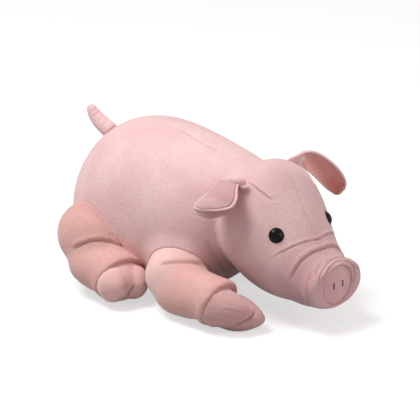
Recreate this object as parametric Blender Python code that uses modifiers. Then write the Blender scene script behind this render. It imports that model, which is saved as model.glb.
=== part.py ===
"""Plush pig lying on its belly, with its head between its front legs.

Metres, +Z up. The pig faces -Y and its own right side is at -X. It rests on z = 0.
Trunk and head are fabric skins round a fibre filling. Each limb has a round root that turns in a round
seat of the skin that carries it, about the point where the sewn limb flexes.
"""

import math

import bmesh
import bpy
from mathutils import Matrix, Vector
from mathutils.bvhtree import BVHTree

# Fabric, seams and clearances
FABRIC = 0.0022
SEAM_GAP = 0.0004
SEAT_GAP = 0.0008
FLOOR_CUT = 0.0006
OVERRUN = 0.03
RIGHT = -1
LEFT = 1
# Where the first section round the pole of a ball lies, as a share of a step
POLE_SHARE = 0.6

# Trunk, from the rump forward
TRUNK_LENGTH = 0.242
TRUNK_WIDTH = 0.160
TRUNK_HEIGHT = 0.176
RUMP_PLACE = 0.171
TRUNK_SIDES = 12
BELLY_FLATNESS = 2.25
# Along the length, half width, underside, back
TRUNK_SHARES = (
    (0.012, 0.24, 0.28, 0.51),
    (0.055, 0.54, 0.145, 0.70),
    (0.14, 0.80, 0.04, 0.865),
    (0.27, 0.96, 0.00, 0.97),
    (0.43, 1.01, 0.00, 1.00),
    (0.59, 0.98, 0.00, 0.975),
    (0.73, 0.92, 0.02, 0.93),
    (0.84, 0.80, 0.11, 0.87),
    (0.925, 0.64, 0.30, 0.81),
    (0.985, 0.32, 0.42, 0.70),
)

# Head, a ball about the point on which it nods, with the face drawn out of it
HEAD_RADIUS = 0.061
HEAD_AHEAD = 0.004
HEAD_RISE = 0.094
HEAD_SIDES = 12
HEAD_REACH = 0.094
HEAD_TURN = math.radians(-6)
NAPE_STEP = math.radians(20)
NAPE_STEPS = 4
NECK_RADIUS = 0.028
# Along the reach, crown, throat and half width, in head radii
FACE_SHARES = (
    (-0.02, 1.01, -1.11, 0.99),
    (0.12, 1.00, -1.21, 0.99),
    (0.29, 0.83, -1.25, 0.96),
    (0.46, 0.38, -1.25, 0.88),
    (0.61, 0.06, -1.22, 0.79),
)
# Along the reach, half height and half width, in muzzle sizes
MUZZLE_SHARES = (
    (0.80, 1.03, 1.03),
    (0.96, 0.98, 1.00),
    (1.0, 0.90, 0.85),
)

# Snout disc, its lip of muzzle fabric and the two nostril stitches
DISC_RADIUS = 0.0215
DISC_THICKNESS = 0.0045
DISC_EDGE = 0.0012
DISC_DROP = 0.0495
DISC_SIDES = 24
LIP_HEIGHT = 0.0050
LIP_WIDTH = 0.0180
STITCH_RADIUS = 0.0007
STITCH_HEIGHT = 0.0065
STITCH_SPREAD = 0.0066
STITCH_SIDES = 12

# Eyes, domed buttons on shanks, and the washers that lock them inside the head
EYE_RADIUS = 0.0077
EYE_DOME = 0.0052
EYE_STEPS = 4
EYE_SHANK_RADIUS = 0.0021
EYE_SHANK_LENGTH = 0.0095
EYE_PLACE = math.radians(40.9)
EYE_TURN = math.radians(44)
EYE_TILT = math.radians(24)
WASHER_RADIUS = 0.0065
WASHER_THICKNESS = 0.0016

# Ears, two layers of fabric that flex along their sewn root
EAR_ANGLE = math.radians(39)
EAR_BACK = math.radians(6)
EAR_SEAT_SHARE = 0.989
EAR_TILT = math.radians(52)
EAR_TURNED_SHARE = 0.45
EAR_LAYER = 0.0020
LINING_LAYER = 0.0014
EAR_CUP = 0.006
EAR_DROOP_POWER = 1.5
EAR_COLUMNS = 4
EAR_HALF_WIDTH = 0.016
RIGHT_EAR_OUT = 0.048
RIGHT_EAR_DROP = 0.013
RIGHT_EAR_BACK = 0.012
LEFT_EAR_OUT = 0.060
LEFT_EAR_DROP = 0.036
LEFT_EAR_BACK = -0.020
EAR_WIDTH_SHARES = (0.62, 0.86, 1.00, 0.99, 0.88, 0.64, 0.20)
LINING_SHARE = 0.80

# Legs: a round root, a bend that rests on the floor, and a cuff that the hoof sits in
LEG_SIDES = 10
ROOT_STEP = math.radians(30)
ROOT_STEPS = 3
FRONT_ROOT_RADIUS = 0.034
FRONT_ROOT_ASIDE = 0.070
FRONT_ROOT_BEHIND = 0.061
FRONT_ROOT_RISE = 0.039
FRONT_BEND_RADIUS = 0.0285
FRONT_BEND_ASIDE = 0.0800
FRONT_BEND_BEHIND = 0.040
FRONT_CUFF_RADIUS = 0.0255
FRONT_CUFF_ASIDE = 0.084
FRONT_CUFF_BEHIND = -0.006
FRONT_HOOF_LENGTH = 0.042
FRONT_HOOF_TURN = math.radians(24)
REAR_ROOT_RADIUS = 0.044
REAR_ROOT_ASIDE = 0.068
REAR_ROOT_AHEAD = 0.074
REAR_ROOT_RISE = 0.047
REAR_BEND_RADIUS = 0.0295
REAR_BEND_ASIDE = 0.0865
REAR_BEND_AHEAD = 0.088
REAR_CUFF_RADIUS = 0.0255
REAR_CUFF_ASIDE = 0.0935
REAR_CUFF_AHEAD = 0.124
REAR_HOOF_LENGTH = 0.031
REAR_HOOF_TURN = math.radians(2)
SHIN_SHARE = 0.55
CUFF_WELT = 0.0009
WELT_LENGTH = 0.0054
CUFF_DEPTH = 0.0056
HEEL_SHARE = 0.70
# Along the hoof, then half width, half height and lift off the floor in cuff radii
HOOF_SHARES = (
    (0.12, 0.92, 0.91, 0.03),
    (0.52, 0.90, 0.83, 0.00),
    (0.86, 0.64, 0.54, 0.12),
    (1.00, 0.30, 0.26, 0.36),
)

# Tail, thin and stuffed, from a round root on the rump
TAIL_ROOT_RADIUS = 0.0075
TAIL_RADIUS = 0.0058
TAIL_TIP_RADIUS = 0.0026
TAIL_BACK = 0.029
TAIL_UP = 0.0225
TAIL_SIDES = 8
TAIL_INSET = 0.034
TAIL_SUNK = 0.0035
TAIL_DRAWN_SHARE = 0.4
# Along the tail: part of its backward and of its upward reach, thickness between base and tip
TAIL_SHARES = (
    (0.34, 0.10, 0.15),
    (0.62, 0.28, 0.40),
    (0.84, 0.55, 0.65),
    (0.97, 0.85, 0.90),
    (1.00, 1.00, 1.00),
)

HEAD_WORDS = ("head", "snout", "disc", "filling_front", "right_", "left_")
TRUNK_FRONT = RUMP_PLACE - TRUNK_LENGTH
HEAD_CENTRE = Vector((0.0, TRUNK_FRONT - HEAD_AHEAD, HEAD_RISE))
MUZZLE_HALF_HEIGHT = DISC_RADIUS + LIP_HEIGHT
MUZZLE_HALF_WIDTH = DISC_RADIUS + LIP_WIDTH
FORWARD = Vector((0.0, -1.0, 0.0))
UP = Vector((0.0, 0.0, 1.0))


def empty_scene():
    for item in list(bpy.data.objects):
        bpy.data.objects.remove(item, do_unlink=True)


def new_collection(name):
    collection = bpy.data.collections.new(name)
    bpy.context.scene.collection.children.link(collection)
    return collection


def new_material(name, colour, roughness):
    material = bpy.data.materials.new(name)
    material.use_nodes = True
    shader = material.node_tree.nodes["Principled BSDF"]
    shader.inputs["Base Color"].default_value = (*colour, 1.0)
    shader.inputs["Roughness"].default_value = roughness
    shader.inputs["Metallic"].default_value = 0.0
    material.diffuse_color = (*colour, 1.0)
    return material


def add_object(name, bm, collection, material=None):
    """Turn a bmesh into a smooth shaded object of the collection."""
    mesh = bpy.data.meshes.new(name)
    bm.to_mesh(mesh)
    bm.free()
    mesh.shade_smooth()
    item = bpy.data.objects.new(name, mesh)
    collection.objects.link(item)
    if material:
        mesh.materials.append(material)
    return item


def hide_cutter(item):
    item.hide_render = True
    item.display_type = "WIRE"
    return item


def section(centre, direction, half_width, half_height, sides, flatness=2.0):
    """One closed cross section, square to a direction, wide enough to hold its size once subdivided."""
    across = direction.cross(UP).normalized()
    upward = across.cross(direction).normalized()
    swell = 1.0 / math.cos(math.pi / sides)
    points = []
    for index in range(sides):
        angle = 2.0 * math.pi * (index + 0.5) / sides
        cosine, sine = math.cos(angle), math.sin(angle)
        power = 2.0 / flatness if sine < 0.0 else 1.0
        wide = math.copysign(abs(cosine) ** power, cosine)
        high = math.copysign(abs(sine) ** power, sine)
        points.append(centre + across * (wide * half_width * swell) + upward * (high * half_height * swell))
    return points


def round_root(centre, direction, radius, sides, step, steps):
    """Cross sections of the rounded back of a ball, from its pole towards its waist."""
    swell = 1.0 / math.cos(step / 2.0)
    sections = []
    for index in range(steps):
        angle = step * (index + POLE_SHARE)
        place = centre - direction * (radius * math.cos(angle) * swell)
        half = radius * math.sin(angle) * swell
        sections.append(section(place, direction, half, half, sides))
    return sections


def soft_form(name, sections, collection, material=None):
    """Join cross sections into a closed cage and round it by subdivision."""
    bm = bmesh.new()
    loops = [[bm.verts.new(point) for point in points] for points in sections]
    for near, far in zip(loops, loops[1:]):
        for index in range(len(near)):
            after = (index + 1) % len(near)
            bm.faces.new((near[index], near[after], far[after], far[index]))
    bm.faces.new(loops[0])
    bm.faces.new(loops[-1])
    bmesh.ops.recalc_face_normals(bm, faces=bm.faces)
    item = add_object(name, bm, collection, material)
    rounding = item.modifiers.new("Rounding", "SUBSURF")
    rounding.levels = 1
    rounding.render_levels = 1
    return item


def evaluated_bmesh(item):
    """The object's shape with its modifiers, as a bmesh in world space."""
    graph = bpy.context.evaluated_depsgraph_get()
    bm = bmesh.new()
    bm.from_object(item, graph)
    bm.transform(item.matrix_world)
    return bm


def offset_copy(name, source, distance, collection, material=None):
    """A copy of a soft form, moved out along its normals, or in where the distance is negative."""
    bm = evaluated_bmesh(source)
    bm.normal_update()
    shifts = [(vert, vert.normal.copy()) for vert in bm.verts]
    for vert, normal in shifts:
        vert.co += normal * distance
    return add_object(name, bm, collection, material)


def ball(name, centre, radius, collection, segments=16, rings=8):
    """A round cutter that stays outside the true ball by its facets."""
    bm = bmesh.new()
    outside = radius / math.cos(math.pi / segments)
    bmesh.ops.create_uvsphere(bm, u_segments=segments, v_segments=rings, radius=outside)
    item = add_object(name, bm, collection)
    item.location = centre
    return hide_cutter(item)


def rod(name, start, end, radius, collection, segments=16):
    """A round bar between two points."""
    axis = end - start
    bm = bmesh.new()
    bmesh.ops.create_cone(bm, cap_ends=True, segments=segments, radius1=radius, radius2=radius,
                          depth=axis.length)
    item = add_object(name, bm, collection)
    item.rotation_euler = axis.to_track_quat("Z", "Y").to_euler()
    item.location = (start + end) / 2.0
    return item


def block(name, low, high, collection):
    """A box cutter between two corners."""
    bm = bmesh.new()
    bmesh.ops.create_cube(bm, size=1.0)
    bmesh.ops.scale(bm, vec=high - low, verts=bm.verts)
    item = add_object(name, bm, collection)
    item.location = (low + high) / 2.0
    return hide_cutter(item)


def boolean(item, other, operation="DIFFERENCE"):
    step = item.modifiers.new(operation.title(), "BOOLEAN")
    step.operation = operation
    step.solver = "EXACT"
    step.object = other


def front_place(side, aside, behind, rise):
    """A place beside the trunk, measured back from the trunk's front end."""
    return Vector((side * aside, TRUNK_FRONT + behind, rise))


def rear_place(side, aside, ahead, rise):
    """A place beside the trunk, measured forward from the rump."""
    return Vector((side * aside, RUMP_PLACE - ahead, rise))


def trunk_sections():
    sections = []
    for along, half_width, under, back in TRUNK_SHARES:
        low = under * TRUNK_HEIGHT - FLOOR_CUT
        high = back * TRUNK_HEIGHT
        centre = Vector((0.0, RUMP_PLACE - along * TRUNK_LENGTH, (low + high) / 2.0))
        sections.append(section(centre, FORWARD, half_width * TRUNK_WIDTH / 2.0, (high - low) / 2.0,
                                TRUNK_SIDES, BELLY_FLATNESS))
    return sections


def head_sections():
    sections = round_root(HEAD_CENTRE, FORWARD, HEAD_RADIUS, HEAD_SIDES, NAPE_STEP, NAPE_STEPS)
    for reach, crown, throat, half_width in FACE_SHARES:
        centre = HEAD_CENTRE + FORWARD * (reach * HEAD_REACH) + UP * ((crown + throat) / 2.0 * HEAD_RADIUS)
        sections.append(section(centre, FORWARD, half_width * HEAD_RADIUS,
                                (crown - throat) / 2.0 * HEAD_RADIUS, HEAD_SIDES))
    for reach, half_height, half_width in MUZZLE_SHARES:
        centre = HEAD_CENTRE + FORWARD * (reach * HEAD_REACH) - UP * DISC_DROP
        sections.append(section(centre, FORWARD, half_width * MUZZLE_HALF_WIDTH,
                                half_height * MUZZLE_HALF_HEIGHT, HEAD_SIDES))
    return sections


def leg_roots():
    """Every leg's name, root centre and root radius."""
    roots = []
    for side, side_name in ((RIGHT, "right"), (LEFT, "left")):
        roots.append((f"{side_name}_front", front_place(side, FRONT_ROOT_ASIDE, FRONT_ROOT_BEHIND, FRONT_ROOT_RISE),
                      FRONT_ROOT_RADIUS))
        roots.append((f"{side_name}_rear", rear_place(side, REAR_ROOT_ASIDE, REAR_ROOT_AHEAD, REAR_ROOT_RISE),
                      REAR_ROOT_RADIUS))
    return roots


def rump_height(along):
    """Height of the back at a place along the trunk, between the named sections."""
    share = (RUMP_PLACE - along) / TRUNK_LENGTH
    for near, far in zip(TRUNK_SHARES, TRUNK_SHARES[1:]):
        if near[0] <= share <= far[0]:
            part = (share - near[0]) / (far[0] - near[0])
            return (near[3] + (far[3] - near[3]) * part) * TRUNK_HEIGHT
    return TRUNK_HEIGHT


def tail_centre():
    along = RUMP_PLACE - TAIL_INSET
    return Vector((0.0, along, rump_height(along) - TAIL_SUNK))


def cut_seats(item, margin, cutters, label):
    """Cut the round seats of head, legs and tail into a trunk shape."""
    seats = [("head", HEAD_CENTRE, HEAD_RADIUS), ("tail", tail_centre(), TAIL_ROOT_RADIUS)] + leg_roots()
    for name, centre, radius in seats:
        boolean(item, ball(f"{label}_{name}_seat_cutter", centre, radius + margin, cutters))


def make_trunk(parts, cutters, fabric, fibre, floor):
    form = soft_form("trunk_form", trunk_sections(), cutters)
    hide_cutter(form)
    skin = offset_copy("trunk", form, 0.0, parts, fabric)
    boolean(skin, floor)
    cut_seats(skin, SEAT_GAP, cutters, "skin")
    hollow = hide_cutter(offset_copy("trunk_hollow", form, -FABRIC, cutters))
    cut_seats(hollow, SEAT_GAP + FABRIC, cutters, "hollow")
    boolean(skin, hollow)
    neck = rod("trunk_neck_cutter", HEAD_CENTRE, HEAD_CENTRE - FORWARD * (HEAD_RADIUS + OVERRUN), NECK_RADIUS,
               cutters)
    boolean(skin, hide_cutter(neck))
    filling = offset_copy("trunk_filling", form, -FABRIC - SEAM_GAP, parts, fibre)
    cut_seats(filling, SEAT_GAP + FABRIC + SEAM_GAP, cutters, "filling")


def eye_axis(side):
    return Vector((side * math.sin(EYE_TURN) * math.cos(EYE_TILT), -math.cos(EYE_TURN) * math.cos(EYE_TILT),
                   math.sin(EYE_TILT)))


def eye_seats(form):
    """Where each eye's axis leaves the head's fabric, level with the head's centre."""
    surface = BVHTree.FromBMesh(evaluated_bmesh(form))
    seats = {}
    for side in (RIGHT, LEFT):
        outward = Vector((side * math.sin(EYE_PLACE), -math.cos(EYE_PLACE), 0.0))
        seats[side] = surface.ray_cast(HEAD_CENTRE, outward)[0]
    return seats


def disc_face():
    """Centre of the snout disc's front."""
    return HEAD_CENTRE + FORWARD * HEAD_REACH - UP * DISC_DROP


def make_head(parts, cutters, fabric, fibre):
    form = hide_cutter(soft_form("head_form", head_sections(), cutters))
    seats = eye_seats(form)
    skin = offset_copy("head", form, 0.0, parts, fabric)
    hollow = hide_cutter(offset_copy("head_hollow", form, -FABRIC, cutters))
    filling = offset_copy("head_filling", form, -FABRIC - SEAM_GAP, parts, fibre)
    face = disc_face()
    back = face - FORWARD * (DISC_THICKNESS + SEAM_GAP)
    pocket_back = back - FORWARD * (FABRIC + SEAM_GAP)
    wall = hide_cutter(rod("disc_wall_cutter", pocket_back, face + FORWARD * OVERRUN,
                           DISC_RADIUS + SEAM_GAP + FABRIC, cutters, DISC_SIDES))
    boolean(hollow, wall)
    boolean(skin, hollow)
    recess = hide_cutter(rod("disc_recess_cutter", back, face + FORWARD * OVERRUN, DISC_RADIUS + SEAM_GAP,
                             cutters, DISC_SIDES))
    boolean(skin, recess)
    neck = hide_cutter(rod("head_neck_cutter", HEAD_CENTRE, HEAD_CENTRE - FORWARD * (HEAD_RADIUS + OVERRUN),
                           NECK_RADIUS, cutters))
    boolean(skin, neck)
    clear_wall = hide_cutter(rod("filling_front_cutter", pocket_back - FORWARD * SEAM_GAP,
                                 face + FORWARD * OVERRUN, DISC_RADIUS + SEAM_GAP * 2.0 + FABRIC, cutters,
                                 DISC_SIDES))
    boolean(filling, clear_wall)
    for side, name in ((RIGHT, "right"), (LEFT, "left")):
        axis, seat = eye_axis(side), seats[side]
        hole = rod(f"{name}_eye_hole_cutter", seat - axis * OVERRUN, seat + axis * OVERRUN,
                   EYE_SHANK_RADIUS + SEAM_GAP, cutters)
        boolean(skin, hide_cutter(hole))
        bed = rod(f"{name}_eye_bed_cutter", seat, seat + axis * OVERRUN, EYE_RADIUS + SEAM_GAP, cutters)
        boolean(skin, hide_cutter(bed))
        washer_bed = rod(f"{name}_washer_bed_cutter", seat - axis * (FABRIC + SEAM_GAP),
                         seat - axis * OVERRUN, WASHER_RADIUS + SEAM_GAP, cutters)
        boolean(skin, hide_cutter(washer_bed))
        pocket_depth = EYE_SHANK_LENGTH + SEAM_GAP
        pocket = rod(f"{name}_eye_pocket_cutter", seat - axis * pocket_depth, seat + axis * OVERRUN,
                     WASHER_RADIUS + SEAM_GAP, cutters)
        boolean(filling, hide_cutter(pocket))
    return seats


def make_snout(parts, skin_material, thread):
    face = disc_face()
    disc = rod("snout_disc", face - FORWARD * DISC_THICKNESS, face, DISC_RADIUS, parts, DISC_SIDES)
    disc.data.materials.append(skin_material)
    edge = disc.modifiers.new("Edge", "BEVEL")
    edge.width = DISC_EDGE
    edge.segments = 2
    edge.limit_method = "ANGLE"
    for side, name in ((RIGHT, "right"), (LEFT, "left")):
        middle = face + FORWARD * (STITCH_RADIUS + SEAM_GAP) + Vector((side * STITCH_SPREAD, 0.0, 0.0))
        half = UP * (STITCH_HEIGHT / 2.0)
        stitch = rod(f"{name}_nostril_stitch", middle - half, middle + half, STITCH_RADIUS, parts, STITCH_SIDES)
        stitch.data.materials.append(thread)


def make_eye(side, name, seat, parts, gloss, washer_material):
    """The eye is one turned moulding: dome, flat back and shank. The washer is a ring on the shank."""
    axis = eye_axis(side)
    turn = axis.to_track_quat("Z", "Y").to_euler()
    profile = [(0.0, EYE_DOME)]
    for step in range(1, EYE_STEPS + 1):
        angle = math.pi / 2.0 * (1.0 - step / EYE_STEPS)
        profile.append((EYE_RADIUS * math.cos(angle), EYE_DOME * math.sin(angle)))
    profile += [(EYE_SHANK_RADIUS, 0.0), (EYE_SHANK_RADIUS, -EYE_SHANK_LENGTH), (0.0, -EYE_SHANK_LENGTH)]
    eye = turned(f"{name}_eye", profile, parts, gloss)
    eye.rotation_euler = turn
    eye.location = seat + axis * SEAM_GAP
    top = -FABRIC - SEAM_GAP * 2.0
    inner = EYE_SHANK_RADIUS + SEAM_GAP
    ring = [(inner, top), (WASHER_RADIUS, top), (WASHER_RADIUS, top - WASHER_THICKNESS),
            (inner, top - WASHER_THICKNESS), (inner, top)]
    washer = turned(f"{name}_eye_washer", ring, parts, washer_material)
    washer.rotation_euler = turn
    washer.location = seat


def turn_head(parts, cutters):
    """Hang every piece of the head, and what cuts it, on the point where the neck flexes, and turn it."""
    neck = bpy.data.objects.new("neck_pivot", None)
    parts.objects.link(neck)
    neck.location = HEAD_CENTRE
    for item in list(parts.objects) + list(cutters.objects):
        if item is neck or not item.name.startswith(HEAD_WORDS):
            continue
        item.parent = neck
        item.location -= HEAD_CENTRE
    neck.rotation_euler = (0.0, 0.0, HEAD_TURN)


def turned(name, profile, collection, material, steps=16):
    """A turned shape from a profile of radius and height, run down its outer side."""
    bm = bmesh.new()
    verts = [bm.verts.new((radius, 0.0, height)) for radius, height in profile]
    for near, far in zip(verts, verts[1:]):
        bm.edges.new((near, far))
    item = add_object(name, bm, collection, material)
    screw = item.modifiers.new("Turn", "SCREW")
    screw.steps = steps
    screw.render_steps = steps
    screw.use_merge_vertices = True
    screw.merge_threshold = 0.00005
    return item


def ear_root(side):
    """Centre of the ear's sewn root, on the ball of the head."""
    stand = HEAD_RADIUS * EAR_SEAT_SHARE
    lift = Vector((side * math.sin(EAR_ANGLE), 0.0, math.cos(EAR_ANGLE))) * (stand * math.cos(EAR_BACK))
    return HEAD_CENTRE + lift - FORWARD * (stand * math.sin(EAR_BACK))


def ear_surface(side, reach, drop, back, width_share, sunk):
    """Rows of points over the ear, from its root to its tip."""
    root = ear_root(side)
    rows = []
    for row, width in enumerate(EAR_WIDTH_SHARES):
        along = row / (len(EAR_WIDTH_SHARES) - 1)
        tilt = EAR_TILT * min(1.0, along / EAR_TURNED_SHARE)
        spread = Vector((0.0, math.cos(tilt), math.sin(tilt)))
        inward = Vector((0.0, -math.sin(tilt), math.cos(tilt)))
        droop = along ** EAR_DROOP_POWER
        middle = root + Vector((side * reach * along, back * droop, -drop * droop))
        half = EAR_HALF_WIDTH * width * (width_share if row else 1.0)
        points = []
        for column in range(EAR_COLUMNS + 1):
            across = 2.0 * column / EAR_COLUMNS - 1.0
            cup = EAR_CUP * along * across * across
            points.append(middle + spread * (half * across) - inward * (cup + sunk))
        rows.append(points)
    return rows


def make_layer(name, rows, thickness, parts, material):
    bm = bmesh.new()
    grid = [[bm.verts.new(point) for point in points] for points in rows]
    for near, far in zip(grid, grid[1:]):
        for index in range(EAR_COLUMNS):
            bm.faces.new((near[index], near[index + 1], far[index + 1], far[index]))
    item = add_object(name, bm, parts, material)
    layer = item.modifiers.new("Layer", "SOLIDIFY")
    layer.thickness = thickness
    layer.offset = 0.0
    return item


def make_ear(side, name, reach, drop, back, parts, fabric, lining_fabric):
    outer = ear_surface(side, reach, drop, back, 1.0, 0.0)
    make_layer(f"{name}_ear", outer, EAR_LAYER, parts, fabric)
    sunk = (EAR_LAYER + LINING_LAYER) / 2.0 + SEAM_GAP * 2.0
    lining = ear_surface(side, reach, drop, back, LINING_SHARE, sunk)[1:-1]
    make_layer(f"{name}_ear_lining", lining, LINING_LAYER, parts, lining_fabric)


def make_leg(name, root, root_radius, bend, bend_radius, cuff, cuff_radius, hoof_length, hoof_turn, parts,
             cutters, fabric, hoof_fabric, floor):
    first = (bend - root).normalized()
    level = Vector((cuff.x - bend.x, cuff.y - bend.y, 0.0)).normalized()
    middle = (first + level).normalized()
    sections = round_root(root, first, root_radius, LEG_SIDES, ROOT_STEP, ROOT_STEPS)
    halfway = (root + bend) / 2.0
    sections.append(section(halfway, first, (root_radius + bend_radius) / 2.0,
                            (root_radius + bend_radius) / 2.0, LEG_SIDES))
    sections.append(section(bend, middle, bend_radius, bend_radius, LEG_SIDES))
    before_cuff = bend.lerp(cuff, SHIN_SHARE)
    before_radius = bend_radius + (cuff_radius - bend_radius) * SHIN_SHARE
    sections.append(section(before_cuff, level, before_radius, before_radius, LEG_SIDES))
    welt_start = cuff - level * WELT_LENGTH
    for centre, radius in ((welt_start, cuff_radius), (cuff, cuff_radius + CUFF_WELT)):
        sections.append(section(centre, level, radius, radius, LEG_SIDES))
    leg = soft_form(f"{name}_leg", sections, parts, fabric)
    inward = math.copysign(hoof_turn, cuff.x)
    toeward = Matrix.Rotation(-inward, 3, "Z") @ level
    heel_radius = cuff_radius * HEEL_SHARE
    hoof_sections = [section(cuff - toeward * CUFF_DEPTH, toeward, heel_radius, heel_radius, LEG_SIDES)]
    for along, half_width, half_height, lift in HOOF_SHARES:
        half = half_height * cuff_radius
        centre = Vector((cuff.x, cuff.y, half + lift * cuff_radius - FLOOR_CUT))
        centre += toeward * (along * hoof_length)
        hoof_sections.append(section(centre, toeward, half_width * cuff_radius, half, LEG_SIDES))
    hoof = soft_form(f"{name}_hoof", hoof_sections, parts, hoof_fabric)
    socket = hide_cutter(offset_copy(f"{name}_hoof_seat_cutter", hoof, SEAM_GAP, cutters))
    boolean(leg, socket)
    boolean(leg, floor)
    boolean(hoof, floor)
    return leg, hoof


def make_legs(parts, cutters, fabric, hoof_fabric, floor):
    for name, root, radius in leg_roots():
        side = RIGHT if name.startswith("right") else LEFT
        if name.endswith("front"):
            bend = front_place(side, FRONT_BEND_ASIDE, FRONT_BEND_BEHIND, FRONT_BEND_RADIUS - FLOOR_CUT)
            cuff = front_place(side, FRONT_CUFF_ASIDE, FRONT_CUFF_BEHIND, FRONT_CUFF_RADIUS - FLOOR_CUT)
            make_leg(name, root, radius, bend, FRONT_BEND_RADIUS, cuff, FRONT_CUFF_RADIUS, FRONT_HOOF_LENGTH,
                     FRONT_HOOF_TURN, parts, cutters, fabric, hoof_fabric, floor)
        else:
            bend = rear_place(side, REAR_BEND_ASIDE, REAR_BEND_AHEAD, REAR_BEND_RADIUS - FLOOR_CUT)
            cuff = rear_place(side, REAR_CUFF_ASIDE, REAR_CUFF_AHEAD, REAR_CUFF_RADIUS - FLOOR_CUT)
            make_leg(name, root, radius, bend, REAR_BEND_RADIUS, cuff, REAR_CUFF_RADIUS, REAR_HOOF_LENGTH,
                     REAR_HOOF_TURN, parts, cutters, fabric, hoof_fabric, floor)


def make_tail(parts, fabric):
    root = tail_centre()
    outward = Vector((0.0, TAIL_BACK, TAIL_UP)).normalized()
    sections = round_root(root, outward, TAIL_ROOT_RADIUS, TAIL_SIDES, ROOT_STEP, ROOT_STEPS)
    before = root
    for back, up, thin in TAIL_SHARES:
        centre = root + Vector((0.0, back * TAIL_BACK, up * TAIL_UP))
        centre += outward * (TAIL_ROOT_RADIUS * (1.0 - back * TAIL_DRAWN_SHARE))
        radius = TAIL_RADIUS + (TAIL_TIP_RADIUS - TAIL_RADIUS) * thin
        direction = (centre - before).normalized()
        sections.append(tail_section(centre, direction, radius))
        before = centre
    return soft_form("tail", sections, parts, fabric)


def tail_section(centre, direction, radius):
    """A cross section that keeps its points in step, however far the tail has turned upright."""
    across = Vector((-1.0, 0.0, 0.0))
    upward = across.cross(direction).normalized()
    points = []
    for index in range(TAIL_SIDES):
        angle = 2.0 * math.pi * (index + 0.5) / TAIL_SIDES
        points.append(centre + across * (radius * math.cos(angle)) + upward * (radius * math.sin(angle)))
    return points


def main():
    empty_scene()
    parts = new_collection("plush_pig")
    cutters = new_collection("cutters")
    plush = new_material("pale_plush", (0.87, 0.60, 0.55), 0.95)
    leg_plush = new_material("leg_plush", (0.78, 0.47, 0.43), 0.95)
    hoof_plush = new_material("hoof_plush", (0.55, 0.35, 0.35), 0.95)
    snout_plush = new_material("snout_plush", (0.58, 0.37, 0.38), 0.9)
    lining = new_material("ear_lining_plush", (0.75, 0.48, 0.45), 0.95)
    fibre = new_material("fibre_filling", (0.90, 0.89, 0.86), 1.0)
    gloss = new_material("black_gloss_plastic", (0.01, 0.01, 0.01), 0.08)
    washer_plastic = new_material("white_washer_plastic", (0.85, 0.85, 0.82), 0.5)
    thread = new_material("dark_thread", (0.10, 0.06, 0.06), 0.9)
    floor = block("floor_cutter", Vector((-TRUNK_LENGTH, -TRUNK_LENGTH, -OVERRUN)),
                  Vector((TRUNK_LENGTH, TRUNK_LENGTH, 0.0)), cutters)
    make_trunk(parts, cutters, plush, fibre, floor)
    seats = make_head(parts, cutters, plush, fibre)
    make_snout(parts, snout_plush, thread)
    for side, name, reach, drop, back in ((RIGHT, "right", RIGHT_EAR_OUT, RIGHT_EAR_DROP, RIGHT_EAR_BACK),
                                          (LEFT, "left", LEFT_EAR_OUT, LEFT_EAR_DROP, LEFT_EAR_BACK)):
        make_eye(side, name, seats[side], parts, gloss, washer_plastic)
        make_ear(side, name, reach, drop, back, parts, plush, lining)
    turn_head(parts, cutters)
    make_legs(parts, cutters, leg_plush, hoof_plush, floor)
    make_tail(parts, plush)


main()
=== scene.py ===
"""Plush pig: short pile plush sewn over a fibre filling, with domed black safety eyes."""

import math

import bmesh
import bpy
import numpy as np
from mathutils import Matrix, Vector
from mathutils.bvhtree import BVHTree


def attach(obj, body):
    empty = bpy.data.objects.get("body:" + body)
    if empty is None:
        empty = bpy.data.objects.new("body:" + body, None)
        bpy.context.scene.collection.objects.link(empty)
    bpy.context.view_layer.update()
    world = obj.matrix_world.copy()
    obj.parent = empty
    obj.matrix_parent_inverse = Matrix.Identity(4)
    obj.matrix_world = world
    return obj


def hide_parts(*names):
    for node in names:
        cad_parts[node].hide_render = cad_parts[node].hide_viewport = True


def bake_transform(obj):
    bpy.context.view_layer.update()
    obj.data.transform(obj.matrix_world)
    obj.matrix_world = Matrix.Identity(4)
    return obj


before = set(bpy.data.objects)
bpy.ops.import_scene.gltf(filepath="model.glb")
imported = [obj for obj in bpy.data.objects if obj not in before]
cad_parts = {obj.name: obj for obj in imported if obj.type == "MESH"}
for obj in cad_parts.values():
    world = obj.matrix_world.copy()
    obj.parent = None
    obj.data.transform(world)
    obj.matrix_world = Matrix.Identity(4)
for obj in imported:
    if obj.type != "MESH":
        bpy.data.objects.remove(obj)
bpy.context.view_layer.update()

# Camera
# A long lens looks at the pig's right side from its front, a little from above, and sees the
# whole pig. Creases are placed along the rays of this camera, so it comes before the cloth.
VIEW_AZIMUTH = math.radians(-54.0)
VIEW_ELEVATION = math.radians(19.0)
VIEW_DISTANCE = 2.0
SHOULDER = Vector((0.0, -0.117, 0.092))
AIM_LEFT = 0.0936
AIM_UP = 0.0167
IMAGE_PIXELS = 420.0
SENSOR = 36.0
PIXELS_PER_RADIAN = 2000.0

level_right = Vector((math.cos(VIEW_AZIMUTH), math.sin(VIEW_AZIMUTH), 0.0))
to_camera = Vector((math.sin(VIEW_AZIMUTH) * math.cos(VIEW_ELEVATION),
                    -math.cos(VIEW_AZIMUTH) * math.cos(VIEW_ELEVATION), math.sin(VIEW_ELEVATION)))
aim = SHOULDER - level_right * AIM_LEFT + to_camera.cross(level_right) * AIM_UP
camera_data = bpy.data.cameras.new("camera")
camera_data.sensor_width = SENSOR
camera_data.lens = PIXELS_PER_RADIAN / IMAGE_PIXELS * SENSOR
camera = bpy.data.objects.new("camera", camera_data)
bpy.context.scene.collection.objects.link(camera)
bpy.context.scene.camera = camera
camera.location = SHOULDER + to_camera * VIEW_DISTANCE
camera.rotation_euler = (aim - camera.location).to_track_quat("-Z", "Y").to_euler()
bpy.context.view_layer.update()


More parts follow.
